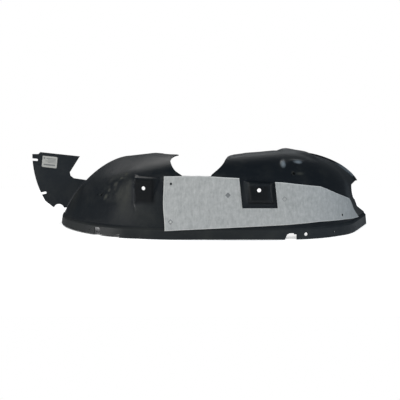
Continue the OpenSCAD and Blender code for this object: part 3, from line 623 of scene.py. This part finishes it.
def settle(piece):
    """Replaces a piece's mesh by its finished shape and drops the modifiers."""
    graph = bpy.context.evaluated_depsgraph_get()
    mesh = bpy.data.meshes.new_from_object(piece.evaluated_get(graph))
    old = piece.data
    piece.modifiers.clear()
    piece.data = mesh
    bpy.data.meshes.remove(old)


def discard(*objects):
    for one in objects:
        mesh = one.data
        bpy.data.objects.remove(one)
        bpy.data.meshes.remove(mesh)


cut_away(flap_trim, flap_solid)
settle(flap_trim)
discard(flap_solid)
scallop_place = flap_place @ Matrix.Translation((-18.0, 0.0, 33.5))
cut_shell(round_cutter(15.0, shallow_cut, 64), scallop_place @ flat_turn)
slot_outline = [(0.0, -flap_bolt_half), (0.0, flap_bolt_half), (-60.0, flap_bolt_half),
    (-60.0, -flap_bolt_half)]
for x, z, turn in ((flap_reach, 175.0, 4.0), (flap_edge_at(81.0), 81.0, -12.0)):
    slot_place = flap_place @ Matrix.Translation((flap_slot_inset - x, 0.0, z))
    slot_frame = slot_place @ Matrix.Rotation(math.radians(turn), 4, "Y")
    cut_shell(round_cutter(flap_bolt_half, shallow_cut, 32), slot_frame @ flat_turn)
    cut_shell(prism(slot_outline, shallow_cut), slot_frame)

for cutter in shell_cutters:
    cut_away(moulded_liner, cutter)
settle(moulded_liner)
for vertex in moulded_liner.data.vertices:
    vertex.co.z = max(0.0, vertex.co.z)
discard(*shell_cutters)
moulded_liner.data.shade_smooth()
moulded_liner.data.set_sharp_from_angle(angle=math.radians(38.0))
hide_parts("liner_shell")
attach(moulded_liner, "root")


def shared_group(name, outputs):
    group = bpy.data.node_groups.new(name, "ShaderNodeTree")
    group.interface.new_socket(name="Vector", in_out="INPUT", socket_type="NodeSocketVector")
    for one in outputs:
        group.interface.new_socket(name=one, in_out="OUTPUT", socket_type="NodeSocketFloat")
    return group, add_node(group, "NodeGroupInput").outputs[0], add_node(group, "NodeGroupOutput")


def noise_in(tree, where, scale, detail, roughness=0.5):
    return add_node(tree, "ShaderNodeTexNoise", {
        "Vector": where, "Scale": scale, "Detail": detail, "Roughness": roughness})


def ranged(tree, value, low, high, start=0.0, end=1.0):
    """A value's place between low and high, given out between start and end."""
    return add_node(tree, "ShaderNodeMapRange", {
        "Value": value, "From Min": low, "From Max": high, "To Min": start, "To Max": end}).outputs[0]


def tinted(tree, amount, below, above):
    """A plain colour laid over another colour, plain or linked, by an amount from 0 to 1."""
    under = below if isinstance(below, bpy.types.NodeSocket) else (*below, 1.0)
    layers = {0: amount, 6: under, 7: (*above, 1.0)}
    return add_node(tree, "ShaderNodeMix", layers, data_type="RGBA").outputs[2]


# Settled dust, thin scuffs and the fine grain of the mould, shared by the plastic and the label.
handling, point_in, handling_out = shared_group("handling_marks", ("Dust", "Scuffs", "Grain"))
drift = noise_in(handling, point_in, 21.0, 5.0, 0.62)
specks = noise_in(handling, point_in, 620.0, 1.0)
dust_cloud = ranged(handling, drift.outputs["Fac"], 0.48, 0.74)
dust_specks = ranged(handling, specks.outputs["Fac"], 0.62, 0.72)
dust = add_node(handling, "ShaderNodeMath", {0: dust_specks, 1: 0.5, 2: dust_cloud}, operation="MULTIPLY_ADD")
bent = add_node(handling, "ShaderNodeVectorMath", {0: drift.outputs["Color"], 1: (0.05, 0.05, 0.05)},
    operation="MULTIPLY")
moved = add_node(handling, "ShaderNodeVectorMath", {0: point_in, 1: bent.outputs[0]}, operation="ADD")
stretched = add_node(handling, "ShaderNodeMapping", {
    "Vector": moved.outputs[0], "Rotation": (0.3, 0.5, 0.2), "Scale": (34.0, 260.0, 420.0)})
strokes = noise_in(handling, stretched.outputs[0], 1.0, 2.0)
scuffs = ranged(handling, strokes.outputs["Fac"], 0.66, 0.76)
grain = noise_in(handling, point_in, 1100.0, 2.0, 0.6)
for socket, made in (("Dust", dust.outputs[0]), ("Scuffs", scuffs), ("Grain", grain.outputs[0])):
    handling.links.new(made, handling_out.inputs[socket])

# Black plastic, deep blue-black with olive dust on the dome and pale rubbed scuffs, with painted highlights,
# painted light from the floor and painted shade laid into its colour. All places are in metres.
black_plastic, tree = new_material("black_plastic")
place = add_node(tree, "ShaderNodeTexCoord").outputs["Object"]
marks = add_node(tree, "ShaderNodeGroup", {}, node_tree=handling)
tree.links.new(place, marks.inputs[0])
fresh_black = (0.0046, 0.0072, 0.0108)
worn_black = (0.0092, 0.0118, 0.0148)
# The dust colour also paints light: a highlight on the dome's flank, light from the floor on the lip and
# foot, glints.
dust_and_light_color = (0.110, 0.112, 0.095)
# The pale colour of the painted highlights.
highlight_color = (0.300, 0.350, 0.390)
# The near-black of painted shade on the boss faces.
painted_shade_black = (0.0006, 0.0012, 0.0020)
# The near-black of painted shade in the pin pits.
pit_shade_black = (0.0015, 0.0018, 0.0022)


def patch(centre, size, edge):
    """How near a point is to the middle of a soft round patch, from 0 outside to 1 inside."""
    offset = add_node(tree, "ShaderNodeVectorMath", {0: place, 1: centre}, operation="SUBTRACT")
    scaled = add_node(tree, "ShaderNodeVectorMath", {0: offset.outputs[0], 1: size}, operation="DIVIDE")
    reach = add_node(tree, "ShaderNodeVectorMath", {0: scaled.outputs[0]}, operation="LENGTH")
    return ranged(tree, reach.outputs["Value"], 1.0, edge)


def combined(operation, first, second):
    return add_node(tree, "ShaderNodeMath", {0: first, 1: second}, operation=operation,
        use_clamp=True).outputs[0]


def beyond(point, direction, soft):
    """From 0 to 1 over a soft border through a point, rising in the direction given."""
    offset = add_node(tree, "ShaderNodeVectorMath", {0: place, 1: point}, operation="SUBTRACT")
    past = add_node(tree, "ShaderNodeVectorMath", {0: offset.outputs[0], 1: direction},
        operation="DOT_PRODUCT")
    return ranged(tree, past.outputs["Value"], 0.0, soft)


def past_x(x, side, soft):
    return beyond((x, 0.0, 0.0), (side, 0.0, 0.0), soft)


def past_z(z, side, soft):
    return beyond((0.0, 0.0, z), (0.0, 0.0, side), soft)


def layered(layers):
    """The sum of soft layers, each given as a mask and its strength."""
    total = 0.0
    for mask, strength in layers:
        total = combined("ADD", total, combined("MULTIPLY", mask, strength))
    return total


# Where the dust lies: the side of the dome before the front boss. In the same colour, the dome's flank gets a
# painted highlight, and the lip and the front's foot get painted light from the floor.
streaked = add_node(tree, "ShaderNodeMapping", {"Vector": place, "Scale": (60.0, 60.0, 9.0)})
streaks = noise_in(tree, streaked.outputs[0], 1.0, 4.0, 0.65).outputs["Fac"]
dusty_side = combined("MULTIPLY", patch((-0.186, -0.105, 0.106), (0.030, 0.050, 0.066), 0.1),
    past_x(-0.170, -1.0, 0.0025))
dusty_side = combined("MULTIPLY", dusty_side, combined("MULTIPLY", streaks, 1.7))
dome_side_highlight = patch((-0.345, 0.090, 0.080), (0.035, 0.070, 0.065), 0.2)
lip_floor_light = combined("MULTIPLY", past_z(0.030, -1.0, 0.004), past_x(0.36, -1.0, 0.2))
low_front_floor_light = patch((-0.150, -0.150, 0.052), (0.115, 0.075, 0.042), 0.4)

# Where the plastic is rubbed matt: streaks on the dome and thin scuffs in a row up it. On the rear shoulder,
# painted glints round the pin pit and a painted highlight beside them.
rubbed_side = combined("MULTIPLY", patch((-0.215, -0.075, 0.130), (0.070, 0.070, 0.055), 0.3),
    ranged(tree, streaks, 0.45, 0.72))
thin_scuffs = layered([(patch(centre, size, 0.2), 1.0) for centre, size in (
    ((-0.2329, -0.0600, 0.1123), (0.006, 0.006, 0.008)),
    ((-0.2160, -0.0630, 0.1295), (0.010, 0.008, 0.009)),
    ((-0.2004, -0.0640, 0.1446), (0.009, 0.008, 0.005)),
    ((-0.1876, -0.0628, 0.1558), (0.006, 0.010, 0.008)),
    ((-0.2431, -0.0648, 0.0946), (0.008, 0.008, 0.012)),
    ((-0.2490, -0.0510, 0.1000), (0.003, 0.003, 0.003)),
    ((-0.2600, -0.0420, 0.0985), (0.0028, 0.003, 0.0028)))])
thin_scuffs = combined("MULTIPLY", thin_scuffs, combined("ADD", streaks, 0.1))
shoulder_glints = combined("ADD", patch((0.2388, -0.1500, 0.1645), (0.0060, 0.0080, 0.0080), 0.3),
    patch((0.2560, -0.1450, 0.1640), (0.0150, 0.0120, 0.0050), 0.2))
dust_and_light_amount = layered([(marks.outputs["Dust"], 0.10), (dusty_side, 0.34), (dome_side_highlight, 0.12), (lip_floor_light, 0.09),
    (low_front_floor_light, 0.08), (rubbed_side, 0.30), (thin_scuffs, 0.75), (shoulder_glints, 0.30),
    (marks.outputs["Scuffs"], 0.12)])

# Painted highlights, paler where light falls: the two lobes, the rim's strip, the rear lip and end, a boss
# bevel and the flap.
lobe_shine = combined("ADD", patch((0.2146, -0.1360, 0.1855), (0.0085, 0.0170, 0.0150), 0.3),
    patch((0.2500, -0.1160, 0.1905), (0.0180, 0.0130, 0.0070), 0.3))
rim_strip = combined("MULTIPLY", patch((0.4200, 0.1150, 0.1480), (0.050, 0.055, 0.040), 0.4),
    beyond((0.4082, 0.0940, 0.1452), (-0.16, 0.866, 0.475), 0.006))
rear_lip = combined("MULTIPLY", past_z(0.034, -1.0, 0.008), past_x(0.10, 1.0, 0.2))
end_panel = patch((0.3950, -0.0350, 0.1080), (0.022, 0.040, 0.036), 0.4)
boss_bevel = patch((0.1180, -0.1780, 0.1180), (0.0105, 0.020, 0.045), 0.6)
flap_face = beyond((-0.345, 0.090, 0.0), (-0.7, 0.7, 0.0), 0.03)
painted_highlight = layered([(lobe_shine, 0.85), (rim_strip, 0.37), (rear_lip, 0.035), (end_panel, 0.06),
    (boss_bevel, 0.025), (flap_face, 0.022)])

# Painted shade, darkest of all: the faces of the two bosses, and the pits of the pins and round them.
boss_shade = layered([(combined("MULTIPLY",
    combined("MULTIPLY", past_x(left, 1.0, 0.004), past_x(right, -1.0, 0.010)),
    combined("MULTIPLY", past_z(foot, 1.0, 0.012), past_z(top, -1.0, 0.004))), strength)
    for left, right, foot, top, strength in (
        (-0.1635, -0.1050, 0.082, 0.151, 0.85), (0.1235, 0.1800, 0.090, 0.138, 0.70))])
pits = layered([(patch(centre, (radius, radius, radius), 0.7), 1.0) for centre, radius in (
    ((-0.2555, -0.0493, 0.0976), 0.0042),
    ((-0.2510, -0.0497, 0.1021), 0.0030),
    ((-0.2672, -0.0356, 0.0978), 0.0028),
    ((-0.2590, -0.0470, 0.0920), 0.0026),
    ((0.2406, -0.1510, 0.1641), 0.0046),
    ((0.2350, -0.1540, 0.1610), 0.0024))])
step_band = combined("MULTIPLY", past_z(0.0225, 1.0, 0.002), past_z(0.0330, -1.0, 0.002))

cloud = noise_in(tree, place, 7.0, 4.0, 0.6).outputs["Fac"]
plastic_color = tinted(tree, cloud, fresh_black, worn_black)
for amount, laid_over in ((dust_and_light_amount, dust_and_light_color), (painted_highlight, highlight_color), (boss_shade, painted_shade_black),
        (pits, pit_shade_black)):
    plastic_color = tinted(tree, amount, plastic_color, laid_over)
gloss = ranged(tree, cloud, 0.3, 0.7, 0.33, 0.43)
dull = add_node(tree, "ShaderNodeMath", {0: dust_and_light_amount, 1: 0.8, 2: gloss}, operation="MULTIPLY_ADD")
duller = add_node(tree, "ShaderNodeMath", {0: combined("ADD", step_band, pits), 1: 0.45, 2: dull.outputs[0]},
    operation="MULTIPLY_ADD")
waves = add_node(tree, "ShaderNodeBump", {"Height": cloud, "Strength": 0.5, "Distance": 0.0012})
relief = add_node(tree, "ShaderNodeBump", {
    "Height": marks.outputs["Grain"], "Strength": 0.14, "Distance": 0.0004, "Normal": waves.outputs[0]})
finish = add_node(tree, "ShaderNodeBsdfPrincipled", {
    "Base Color": plastic_color, "Roughness": duller.outputs[0], "Normal": relief.outputs[0], "IOR": 1.49,
    "Specular IOR Level": 0.5})
add_node(tree, "ShaderNodeOutputMaterial", {"Surface": finish.outputs[0]})
moulded_liner.data.materials.clear()
moulded_liner.data.materials.append(black_plastic)

# Felt panel.
# A sheet of grey needled polyester felt, 4 mm thick, die-cut to the wall between the lip and the shoulder.
# It goes round the rear boss and is fused to the shell at three small diamond spots.
felt_start = front_length - 36.5
felt_end = arch_length - 94.0
felt_gap = 0.3
felt_face = 4.3
felt_steps = 200
felt_rim = 2.0
felt_rim_rows = 44.0
edge_round = 1.8
edge_fall = 1.1
edge_lean = 4.1
edge_lean_change = 6.2
edge_lean_fade = 40.0
felt_foot_line = [(felt_start, 21.5)] + [(arch_length - before_end, height) for before_end, height in (
    (408.0, 36.6), (364.0, 39.5), (307.0, 42.0), (220.0, 39.5))] + [(felt_end, 30.0)]
felt_top_line = [(felt_start, 156.0), (front_length + 55.0, 160.0), (rear_boss_along - 49.5, 154.5),
    (rear_boss_along + 38.0, 144.6)] + [(arch_length - before_end, height) for before_end, height in (
    (408.0, 143.4), (341.0, 135.0), (302.0, 130.4), (286.0, 125.2), (260.0, 115.9), (230.0, 105.4),
    (192.0, 95.1), (166.0, 88.6), (159.0, 84.5), (141.0, 62.3), (120.0, 46.0))] + [(felt_end, 31.0)]


def height_on(line, along):
    """The height of an edge of the felt at one place, straight between the line's points."""
    for (a, low), (b, high) in zip(line, line[1:]):
        if along <= b:
            return low + (high - low) * max(0.0, along - a) / (b - a)
    return line[-1][1]


def on_band(along, height, offset):
    """A point at one height on the leaning band, standing off it by the offset."""
    lean = math.radians(through(band_leans, along))
    inset = (height - band_foot(along)) * math.tan(lean) - offset * math.cos(lean)
    return lip_line(along) + inward(along) * inset + Vector((0.0, 0.0, height + offset * math.sin(lean)))


# Columns at even steps, at both ends and at each corner of the top line, and rows that are close at the rims.
felt_columns = sorted([felt_start + (felt_end - felt_start) * i / felt_steps for i in range(felt_steps + 1)]
    + [felt_start + i for i in (0.5, 1.0, edge_round)] + [felt_end - i for i in (0.5, 1.0, edge_round)]
    + [along for along, _ in felt_top_line[1:-1]])
felt_rows = [0.0, 0.5, 1.0, edge_round] + [2.0 + i for i in range(41)] + [42.2, 43.0, 43.5, 44.0]
felt_sheet = bmesh.new()
bmesh.ops.create_grid(felt_sheet, x_segments=len(felt_columns) - 1, y_segments=len(felt_rows) - 1, size=1.0)
along_layer = felt_sheet.verts.layers.float.new("along")
height_layer = felt_sheet.verts.layers.float.new("height")
edge_layer = felt_sheet.verts.layers.float.new("near_edge")
felt_sheet.verts.ensure_lookup_table()
sorted_verts = sorted(felt_sheet.verts, key=lambda v: (round(v.co.x * 4000), round(v.co.y * 4000)))
for number, along in enumerate(felt_columns):
    foot = height_on(felt_foot_line, along)
    top = height_on(felt_top_line, along)
    rim_scale = min(1.0, (top - foot) / felt_rim_rows)
    rim = felt_rim * rim_scale
    for row, share in enumerate(felt_rows):
        vert = sorted_verts[number * len(felt_rows) + row]
        if share <= felt_rim:
            height = foot + share * rim_scale
        elif share >= felt_rim_rows - felt_rim:
            height = top - (felt_rim_rows - share) * rim_scale
        else:
            height = foot + rim + (top - foot - 2 * rim) * (share - felt_rim) / (felt_rim_rows - 2 * felt_rim)
        slant = edge_lean - edge_lean_change * ease((height - foot) / (top - foot), 0.0, 0.55)
        slant *= 1 - ease(along, felt_start, felt_start + edge_lean_fade)
        vert[along_layer] = along + slant
        vert[height_layer] = height
        vert[edge_layer] = min(along - felt_start, felt_end - along, height - foot, top - height)
        vert.co = on_band(along + slant, height, felt_gap)
back = list(felt_sheet.faces)
front = bmesh.ops.extrude_face_region(felt_sheet, geom=back, use_keep_orig=True)

# The front of the felt is a little uneven and rounds off toward its cut edges.
for vert in (one for one in front["geom"] if isinstance(one, bmesh.types.BMVert)):
    fall = max(0.0, 1.0 - vert[edge_layer] / edge_round)
    loose = noise.noise(Vector((vert[along_layer] * 0.13, vert[height_layer] * 0.13, 2.0))) * 0.18 - 0.2
    vert.co = on_band(vert[along_layer], vert[height_layer], felt_face - edge_fall * fall * fall + loose)
for vert in felt_sheet.verts:
    vert.co = (vert.co + part_shift) * metres
bmesh.ops.recalc_face_normals(felt_sheet, faces=felt_sheet.faces)
felt_panel = finished_object("felt_panel", felt_sheet)

# The notch round the rear boss, the two pin holes and the three pressed spots.
notch = [(-42.0, 79.0), (47.0, 79.0), (40.0, 145.0), (40.0, 200.0), (-50.0, 200.0), (-50.0, 154.0)]
felt_cutters = [placed_solid("felt_notch", prism(notch, shallow_cut), lip_frame(rear_boss_along))]
felt_holes = ((front_length - 18.0, 138.0), (arch_length - 227.0, 52.0))
for along, height in felt_holes:
    hole_place = lip_frame(along) @ Matrix.Translation((0.0, 20.0, height)) @ flat_turn
    felt_cutters.append(placed_solid("felt_hole", round_cutter(pin_radius, deep_cut, 24), hole_place))
weld_places = ((front_length - 18.0, 44.0), (front_length + 126.0, 112.0), (front_length + 268.0, 102.0))
weld_outline = [(-5.0, 0.0), (0.0, -5.0), (5.0, 0.0), (0.0, 5.0)]
for along, height in weld_places:
    lean = math.radians(through(band_leans, along))
    front_of_felt = (height - band_foot(along)) * math.tan(lean) - felt_face
    weld_place = lip_frame(along) @ Matrix.Translation((0.0, front_of_felt, height))
    felt_cutters.append(placed_solid("felt_weld", prism(weld_outline, 2.6), weld_place))
for cutter in felt_cutters:
    cut_away(felt_panel, cutter)
settle(felt_panel)
discard(*felt_cutters)
felt_panel.data.shade_smooth()
felt_panel.data.set_sharp_from_angle(angle=math.radians(50.0))
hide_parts("insulation_panel")
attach(felt_panel, "root")

# Grey felt of upright fibres, paler at the cut edges for white fibre there and a painted highlight on the
# rounded rim, dark in the pressed spots, with painted shade in the holes.
grey_felt, tree = new_material("grey_felt")
place = add_node(tree, "ShaderNodeTexCoord").outputs["Object"]
strands = add_node(tree, "ShaderNodeMapping", {"Vector": place, "Scale": (270.0, 270.0, 52.0)})
fibres = noise_in(tree, strands.outputs[0], 1.0, 4.0, 0.7)
mottle = noise_in(tree, place, 90.0, 4.0, 0.7)
blend = add_node(tree, "ShaderNodeMath", {0: fibres.outputs["Fac"], 1: mottle.outputs["Fac"]},
    operation="ADD")
felt_tone = ranged(tree, blend.outputs[0], 0.7, 1.3)
felt_color = tinted(tree, felt_tone, (0.335, 0.345, 0.345), (0.500, 0.510, 0.505))
near_edge = add_node(tree, "ShaderNodeAttribute", {}, attribute_name="near_edge", attribute_type="GEOMETRY")
# The pale cut edges are partly white fibre and partly a painted highlight.
edge_fibre_and_highlight = ranged(tree, near_edge.outputs["Fac"], 0.0, 2.6, 0.85, 0.0)
felt_color = tinted(tree, edge_fibre_and_highlight, felt_color, (0.80, 0.81, 0.79))
fluff = add_node(tree, "ShaderNodeBump", {"Height": blend.outputs[0], "Strength": 0.35, "Distance": 0.0005})


def spot(centre, weights, inner, outer, strength):
    """A soft spot round one place, round without weights and a diamond with the weights of two sides."""
    offset = add_node(tree, "ShaderNodeVectorMath", {0: place, 1: centre}, operation="SUBTRACT")
    sides = add_node(tree, "ShaderNodeVectorMath", {0: offset.outputs[0]}, operation="ABSOLUTE").outputs[0]
    if weights:
        reach = add_node(tree, "ShaderNodeVectorMath", {0: sides, 1: weights}, operation="DOT_PRODUCT")
    else:
        reach = add_node(tree, "ShaderNodeVectorMath", {0: sides}, operation="LENGTH")
    return ranged(tree, reach.outputs["Value"], inner, outer, strength, 0.0)


diamond = (1.0, 0.0, 1.0)
for (along, height), strength, rim_only in zip(weld_places, (0.62, 0.80, 0.50), (True, False, False)):
    centre = (on_band(along, height, 4.0) + part_shift) * metres
    pressed = spot(centre, diamond, 0.0060, 0.0078, strength)
    if rim_only:
        pressed = combined("SUBTRACT", pressed, spot(centre, diamond, 0.0018, 0.0040, strength * 0.8))
    felt_color = tinted(tree, pressed, felt_color, (0.10, 0.11, 0.12))
# Painted shade in the two pin holes and just round them.
for along, height in felt_holes:
    centre = (on_band(along, height, 2.5) + part_shift) * metres
    felt_color = tinted(tree, spot(centre, None, 0.0030, 0.0040, 1.0), felt_color, (0.008, 0.009, 0.010))
finish = add_node(tree, "ShaderNodeBsdfPrincipled", {"Base Color": felt_color, "Roughness": 0.95,
    "Normal": fluff.outputs[0], "Specular IOR Level": 0.15, "Sheen Weight": 0.15, "Sheen Roughness": 0.6})
add_node(tree, "ShaderNodeOutputMaterial", {"Surface": finish.outputs[0]})
felt_panel.data.materials.clear()
felt_panel.data.materials.append(grey_felt)

# Label.
# A small coated paper sticker on the front flap, stuck on slightly askew with rounded corners.
# Its print is left out, so it only carries plain grey bars.
label_length = 42.5
label_height = 32.0
label_corner = 3.0
label_thickness = 0.4
label_tilt = math.radians(6.0)
label_middle = Vector((front_end_x - 42.0, front_radius, 169.0))
corner_x = label_length / 2 - label_corner
corner_z = label_height / 2 - label_corner
label_outline = [(x + label_corner * math.cos(a), z + label_corner * math.sin(a)) for x, z, first in (
    (corner_x, -corner_z, -90.0), (corner_x, corner_z, 0.0), (-corner_x, corner_z, 90.0),
    (-corner_x, -corner_z, 180.0)) for a in [math.radians(first + 15.0 * i) for i in range(7)]]
label_place = Matrix.Translation(label_middle - Vector((0.0, label_thickness / 2, 0.0)))
label_place = label_place @ Matrix.Rotation(label_tilt, 4, "Y")
label_piece = placed_solid("paper_label", prism(label_outline, label_thickness), label_place)
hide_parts("label")
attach(label_piece, "root")

# Pale coated paper with grey bars. The tilted frame of the label gives each bar its place.
pale_label, tree = new_material("pale_label")
place = add_node(tree, "ShaderNodeTexCoord").outputs["Object"]
marks = add_node(tree, "ShaderNodeGroup", {}, node_tree=handling)
tree.links.new(place, marks.inputs[0])
label_centre = (label_middle + part_shift) * metres
square = add_node(tree, "ShaderNodeMapping", {"Vector": place, "Location": label_centre,
    "Rotation": (0.0, label_tilt, 0.0)}, vector_type="TEXTURE")
across = add_node(tree, "ShaderNodeSeparateXYZ", {"Vector": square.outputs[0]})


def within(value, middle, half):
    """One inside a range of a value and nothing outside, with a soft rim 0.2 mm wide."""
    offset = add_node(tree, "ShaderNodeMath", {0: value, 1: middle}, operation="SUBTRACT").outputs[0]
    distance = add_node(tree, "ShaderNodeMath", {0: offset}, operation="ABSOLUTE").outputs[0]
    return ranged(tree, distance, half + 0.0001, half - 0.0001)


# The bars by middle and half size across and up, in metres: five lines and a small square.
ink = 0.0
for x, z, half_x, half_z in ((0.004, 0.0095, 0.0135, 0.0011), (0.006, 0.0055, 0.0115, 0.0008),
        (0.003, 0.0020, 0.0145, 0.0008), (0.006, -0.0015, 0.0115, 0.0008),
        (0.0, -0.0085, 0.0165, 0.0022), (-0.0155, 0.0095, 0.0022, 0.0022)):
    bar = combined("MULTIPLY", within(across.outputs["X"], x, half_x), within(across.outputs["Z"], z, half_z))
    ink = combined("MAXIMUM", ink, bar)
label_color = tinted(tree, marks.outputs["Dust"], (0.50, 0.50, 0.475), (0.40, 0.40, 0.37))
label_color = tinted(tree, combined("MULTIPLY", ink, 0.75), label_color, (0.13, 0.14, 0.15))
crinkle = add_node(tree, "ShaderNodeBump", {
    "Height": marks.outputs["Grain"], "Strength": 0.05, "Distance": 0.0002})
finish = add_node(tree, "ShaderNodeBsdfPrincipled", {
    "Base Color": label_color, "Roughness": 0.38, "Normal": crinkle.outputs[0]})
add_node(tree, "ShaderNodeOutputMaterial", {"Surface": finish.outputs[0]})
label_piece.data.materials.clear()
label_piece.data.materials.append(pale_label)
